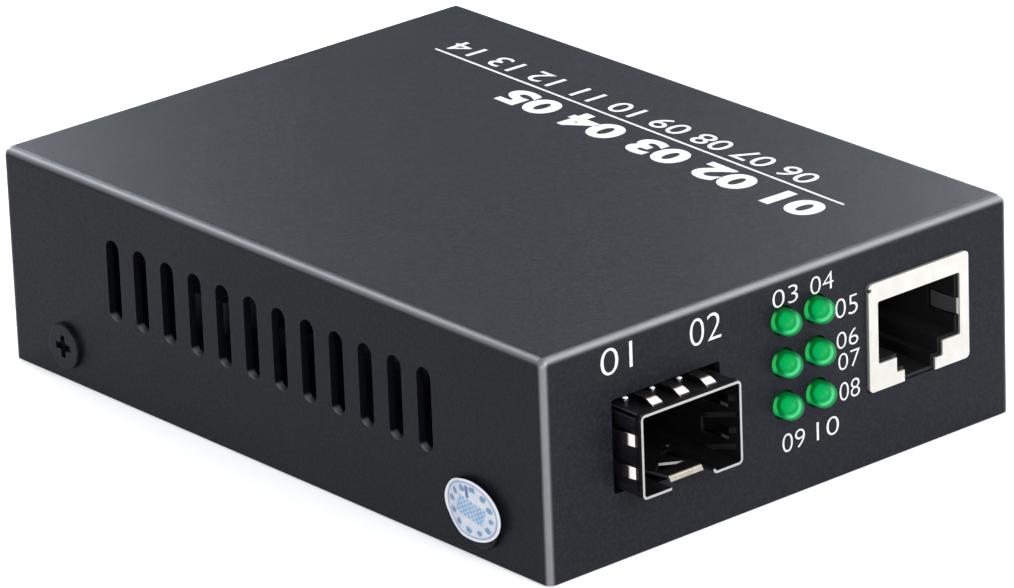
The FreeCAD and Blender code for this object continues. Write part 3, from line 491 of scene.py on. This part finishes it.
# ------------------------------------------------------------------ seal
def seal_mat():
    """White paper seal with a ring line, twelve marks round it, a dotted middle and a stroke of pen."""
    k = M("seal_print")
    x, y, z = k.co()
    nx, ny, nz = k.normal()
    u = k.math("MULTIPLY", k.math("SUBTRACT", y, -36.0 * MM), 1000.0)
    v = k.math("MULTIPLY", k.math("SUBTRACT", z, 5.75 * MM), 1000.0)
    ct, st = math.cos(math.radians(4.0)), math.sin(math.radians(4.0))
    p = k.math("ADD", k.math("MULTIPLY", u, ct), k.math("MULTIPLY", v, st))
    q = k.math("SUBTRACT", k.math("MULTIPLY", v, ct), k.math("MULTIPLY", u, st))
    pa, qb = k.math("DIVIDE", p, 5.05), k.math("DIVIDE", q, 3.52)
    rho = k.math("SQRT", k.math("ADD", k.math("MULTIPLY", pa, pa), k.math("MULTIPLY", qb, qb)))
    phi = k.math("ARCTAN2", qb, pa)
    fleck = k.noise(2600.0, 2.0, 0.6)
    blotch = k.noise(1300.0, 3.0, 0.7)
    ground = k.mixc(k.step(blotch, 0.35, 0.65), (0.56, 0.535, 0.545), (0.43, 0.50, 0.61))
    # ring line inside the border
    line = k.math("SUBTRACT", 1.0, k.step(k.math("ABSOLUTE", k.math("SUBTRACT", rho, 0.875)), 0.012, 0.045))
    # twelve marks
    sect = math.radians(30.0)
    dphi = k.math("SUBTRACT", k.math("FLOORED_MODULO", k.math("ADD", phi, 20 * sect + 0.2), sect), sect / 2)
    da = k.math("MULTIPLY", k.math("MULTIPLY", dphi, rho), 4.1)
    dr = k.math("MULTIPLY", k.math("SUBTRACT", rho, 0.70), 4.1)
    dm = k.math("SQRT", k.math("ADD", k.math("MULTIPLY", da, da), k.math("MULTIPLY", dr, dr)))
    dm = k.math("ADD", dm, k.math("MULTIPLY", k.math("SUBTRACT", blotch, 0.5), 1.0))
    marks = k.math("SUBTRACT", 1.0, k.step(dm, 0.30, 0.52))
    # dotted middle, a slanting band
    hp = k.math("ADD", p, k.math("MULTIPLY", q, 0.35))
    hq = k.math("SUBTRACT", q, k.math("MULTIPLY", p, 0.12))
    inside = k.math("MULTIPLY", k.math("SUBTRACT", 1.0, k.step(k.math("ABSOLUTE", hp), 2.2, 2.6)),
                    k.math("SUBTRACT", 1.0, k.step(k.math("ABSOLUTE", hq), 0.95, 1.25)))
    dots = k.math("MULTIPLY", k.math("SINE", k.math("MULTIPLY", hp, 8.5)), k.math("SINE", k.math("MULTIPLY", hq, 8.5)))
    dots = k.math("ADD", dots, k.math("MULTIPLY", k.math("SUBTRACT", blotch, 0.5), 1.6))
    hatch = k.math("MULTIPLY", inside, k.math("ADD", 0.45, k.math("MULTIPLY", k.step(dots, -0.15, 0.35), 0.55)))
    # pen stroke
    pen_c = k.math("ADD", -35.45, k.math("MULTIPLY", k.math("SUBTRACT", k.math("MULTIPLY", z, 1000.0), 7.8), 0.14))
    pen_d = k.math("ABSOLUTE", k.math("SUBTRACT", k.math("MULTIPLY", y, 1000.0), pen_c))
    pen = k.math("MULTIPLY", k.math("SUBTRACT", 1.0, k.step(pen_d, 0.18, 0.34)),
                 k.math("MULTIPLY", k.step(z, 7.0 * MM, 7.2 * MM), k.math("SUBTRACT", 1.0, k.step(z, 8.4 * MM, 8.6 * MM))))
    col = k.mixc(k.step(rho, 0.90, 0.94), ground, (0.60, 0.62, 0.66))
    col = k.mixc(k.math("MULTIPLY", hatch, 0.9), col, (0.10, 0.26, 0.45))
    col = k.mixc(k.math("MULTIPLY", marks, 0.88), col, (0.060, 0.185, 0.33))
    col = k.mixc(k.math("MULTIPLY", line, 0.75), col, (0.14, 0.20, 0.36))
    col = k.mixc(k.math("MULTIPLY", pen, 0.9), col, (0.035, 0.065, 0.22))
    # painted shade: the seal's edge walls are coloured near black, standing for the shadow round the raised seal
    edge = k.math("LESS_THAN", k.math("ABSOLUTE", nx), 0.5)
    col = k.mixc(edge, col, (0.003, 0.003, 0.0035))
    k.set(Base_Color=col, Roughness=0.5, Normal=k.bump(fleck, 0.06, 0.00001))
    return k.mat


assign("seal_sticker", seal_mat())


# ------------------------------------------------------------------ print: plain numbers
def print_mat():
    """Screen-printed ink, slightly uneven and proud of the coat."""
    k = M("print_white")
    g = k.noise(1500.0, 3.0, 0.6)
    c = k.mixc(k.step(g, 0.3, 0.7), (0.39, 0.395, 0.40), (0.45, 0.455, 0.46))
    k.set(Base_Color=c, Roughness=0.55, Normal=k.bump(g, 0.1, 0.00001))
    k.bsdf.inputs["Specular IOR Level"].default_value = 0.2
    return k.mat


INK = print_mat()


def glyphs(out, body, width, height, at, ux, uy, bold=0.0, gap=1.0, proud=0.02):
    """Add a line of digits to a bmesh: its lower left corner at a point on the surface, fitted to a width and height (mm)."""
    curve = bpy.data.curves.new("digits", "FONT")
    curve.body = body
    curve.size = 1.0
    curve.offset = bold
    curve.extrude = 0.5
    curve.resolution_u = 6
    curve.space_character = gap
    tmp = bpy.data.objects.new("digits", curve)
    bpy.context.scene.collection.objects.link(tmp)
    bpy.context.view_layer.update()
    mesh = bpy.data.meshes.new_from_object(tmp.evaluated_get(bpy.context.evaluated_depsgraph_get()))
    xs = [v.co.x for v in mesh.vertices]
    ys = [v.co.y for v in mesh.vertices]
    x0, y0 = min(xs), min(ys)
    sx, sy = width / (max(xs) - x0), height / (max(ys) - y0)
    ux, uy = Vector(ux).normalized(), Vector(uy).normalized()
    un = ux.cross(uy)
    at = Vector(at)
    for v in mesh.vertices:
        p = at + ux * ((v.co.x - x0) * sx) + uy * ((v.co.y - y0) * sy) + un * (v.co.z * proud * 1.0 + proud * 0.5 - 0.005)
        v.co = p * MM
    out.from_mesh(mesh)
    bpy.data.objects.remove(tmp)
    bpy.data.curves.remove(curve)
    bpy.data.meshes.remove(mesh)


def bar(out, at, ux, uy, width, height, proud=0.02):
    """A printed rule."""
    ux, uy = Vector(ux).normalized(), Vector(uy).normalized()
    un = ux.cross(uy)
    pts = []
    for a, b in ((0, 0), (width, 0), (width, height), (0, height)):
        pts.append(Vector(at) + ux * a + uy * b)
    lo = [out.verts.new((p - un * 0.005) * MM) for p in pts]
    hi = [out.verts.new((p + un * (proud - 0.005)) * MM) for p in pts]
    out.faces.new(lo[::-1])
    out.faces.new(hi)
    for i in range(4):
        j = (i + 1) % 4
        out.faces.new((lo[i], lo[j], hi[j], hi[i]))


def finish_print(name, bm, body):
    bmesh.ops.remove_doubles(bm, verts=bm.verts, dist=1e-7)
    mesh = bpy.data.meshes.new(name)
    bm.to_mesh(mesh)
    bm.free()
    mesh.materials.clear()
    mesh.materials.append(INK)
    for p in mesh.polygons:
        p.material_index = 0
    o = bpy.data.objects.new(name, mesh)
    bpy.context.scene.collection.objects.link(o)
    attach(o, body)
    return o


# top: read from the +X side, the whole print a touch askew on the case
turn = math.radians(1.8)
tx = Vector((math.sin(turn), math.cos(turn), 0.0))
ty = Vector((-math.cos(turn), math.sin(turn), 0.0))
top = bmesh.new()
glyphs(top, "01 02 03 04 05", 55.5, 4.7, (18.3, -37.0, H * 1000), tx, ty, bold=0.045, gap=1.05)
bar(top, (19.9, -37.2, H * 1000), tx, ty, 74.0, 0.36)
glyphs(top, "06 07 08 09 10 11 12 13 14", 65.5, 3.2, (24.2, -29.2, H * 1000), tx, ty, bold=0.004, gap=1.0)
finish_print("top_numbers", top, "case")

# front: one plain number in each printed place
frontb = bmesh.new()
fx, fz, fy = (1, 0, 0), (0, 0, 1), -D / 2 * 1000
for body, u0, u1, v0, v1 in (
        ("01", 8.3, 12.9, 1.3, 4.4), ("02", 21.3, 25.9, 1.5, 4.7),
        ("03", 33.6, 37.4, 1.6, 3.7), ("04", 39.3, 42.8, 1.6, 3.7),
        ("05", 43.0, 46.4, 5.3, 7.6), ("06", 43.1, 46.4, 9.3, 11.3), ("07", 43.3, 46.6, 11.9, 13.9),
        ("08", 43.4, 46.5, 15.4, 17.6), ("09", 34.6, 38.0, 19.0, 21.2), ("10", 39.8, 43.2, 19.0, 21.2)):
    glyphs(frontb, body, u1 - u0, v1 - v0, (u0 - 35.0, fy, 26.5 - v1), fx, fz, bold=-0.014)
finish_print("front_numbers", frontb, "case")

# ------------------------------------------------------------------ floor and light
floor_mesh = bpy.data.meshes.new("floor")
bm = bmesh.new()
for v in ((-3, -3), (3, -3), (3, 3), (-3, 3)):
    bm.verts.new((v[0], v[1], -0.0002))
bm.faces.new(bm.verts)
bm.to_mesh(floor_mesh)
bm.free()
floor = bpy.data.objects.new("floor", floor_mesh)
bpy.context.scene.collection.objects.link(floor)
fm = M("floor_pale")
fm.set(Base_Color=(0.5, 0.5, 0.5), Roughness=0.9, Emission_Color=(0.96, 0.98, 1.0))
fm.bsdf.inputs["Emission Strength"].default_value = 0.52
fm.bsdf.inputs["Specular IOR Level"].default_value = 0.0
floor.data.materials.append(fm.mat)

world = bpy.data.worlds.new("world")
bpy.context.scene.world = world
world.use_nodes = True
bg = world.node_tree.nodes["Background"]
bg.inputs[0].default_value = (0.88, 0.95, 1.02, 1)
bg.inputs[1].default_value = 0.33


def area(name, pos, target, size, power, color=(1, 1, 1), size_y=None):
    d = bpy.data.lights.new(name, "AREA")
    d.energy = power
    d.color = color
    d.shape = "RECTANGLE" if size_y else "SQUARE"
    d.size = size
    if size_y:
        d.size_y = size_y
    o = bpy.data.objects.new(name, d)
    bpy.context.scene.collection.objects.link(o)
    o.location = pos
    o.rotation_euler = (Vector(target) - Vector(pos)).to_track_quat("-Z", "Y").to_euler()
    return o


C = Vector((0, 0, 0.013))
LAT = Vector((0.7556, -0.6540, 0.0)).normalized()      # across the view
DEP = Vector((0.6540, 0.7556, 0.0)).normalized()       # away from the view
area("rim_left_edge", C + Vector((-0.28, 0.72, 0.64)) * 0.9, C, 0.30, 2.3)
area("rim_front_edge", C + Vector((0.60, -0.37, 0.71)) * 0.9, C, 0.30, 2.0)
area("low_front_left", C + Vector((-0.74, -0.64, 0.02)) * 1.4, C, 0.3, 12.0, size_y=0.5)
area("key_front", C + Vector((-0.16, -0.88, 0.44)) * 1.6, C, 0.8, 25.0)
area("side_right", C + Vector((0.90, -0.45, 0.50)) * 1.2, C + Vector((0.05, -0.08, 0.0)), 0.4, 6.0)
area("floor_front_right", Vector((0.04, -0.42, 0.35)), Vector((0.04, -0.42, 0.0)), 0.35, 1.6)
for side, pw in ((-1, 2.55), (1, 3.3)):
    p = C + LAT * (side * 0.22) + DEP * 0.36 + Vector((0, 0, 0.15))
    area("back_card_left" if side < 0 else "back_card_right", p, C + LAT * side * 0.03, 0.22, pw, color=(0.93, 0.98, 1.05), size_y=0.20)
